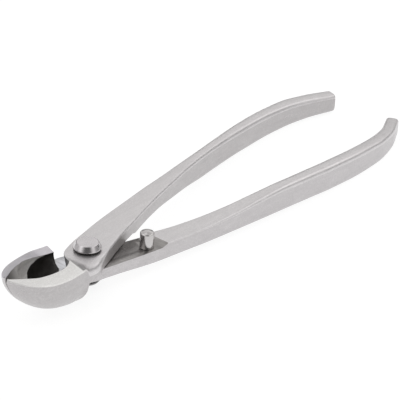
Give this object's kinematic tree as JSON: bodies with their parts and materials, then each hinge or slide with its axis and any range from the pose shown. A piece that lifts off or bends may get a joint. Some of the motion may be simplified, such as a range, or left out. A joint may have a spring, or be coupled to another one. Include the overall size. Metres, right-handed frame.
{
  "type": "bonsai knob cutter",
  "caption": "Bonsai knob cutter: crossed forged levers on a headed rivet, half-bowl jaws that close edge to edge, and long bare handles that curve inwards.",
  "frame": {"origin": "on the pivot axis, at the centre of the lower rivet head's flat face; the levers lap 7.1 mm above it", "axes": "+X towards the handles' ends, +Z along the pivot axis, out of the bowl's open side; the upper lever's jaw is at -Y and its handle at +Y"},
  "size_m": [0.2056, 0.0506, 0.0201],
  "materials": {
    "upper_lever": "satin-blasted stainless steel, fine brushing along the handle, ground rim",
    "lower_lever": "satin-blasted stainless steel, fine brushing along the handle, ground rim",
    "pivot_rivet": "turned stainless steel, half polished",
    "rivet_cap": "turned stainless steel, half polished",
    "washers": "plain stamped steel, dark with oil",
    "stop_pin": "turned stainless steel, polished"
  },
  "bodies": {
    "lower_body": {"lower_lever": "lower_lever", "stop_pin": "stop_pin", "pivot_rivet": "pivot_rivet", "rivet_cap": "rivet_cap", "upper_washer": "washers", "lower_washer": "washers"},
    "upper_body": {"upper_lever": "upper_lever"}
  },
  "joints": [
    {"name": "jaw_pivot", "type": "hinge", "parent": "lower_body", "child": "upper_body", "pos_m": [0, 0, 0.0071], "axis": [0, 0, 1], "range_deg": [0, 35]}
  ]
}
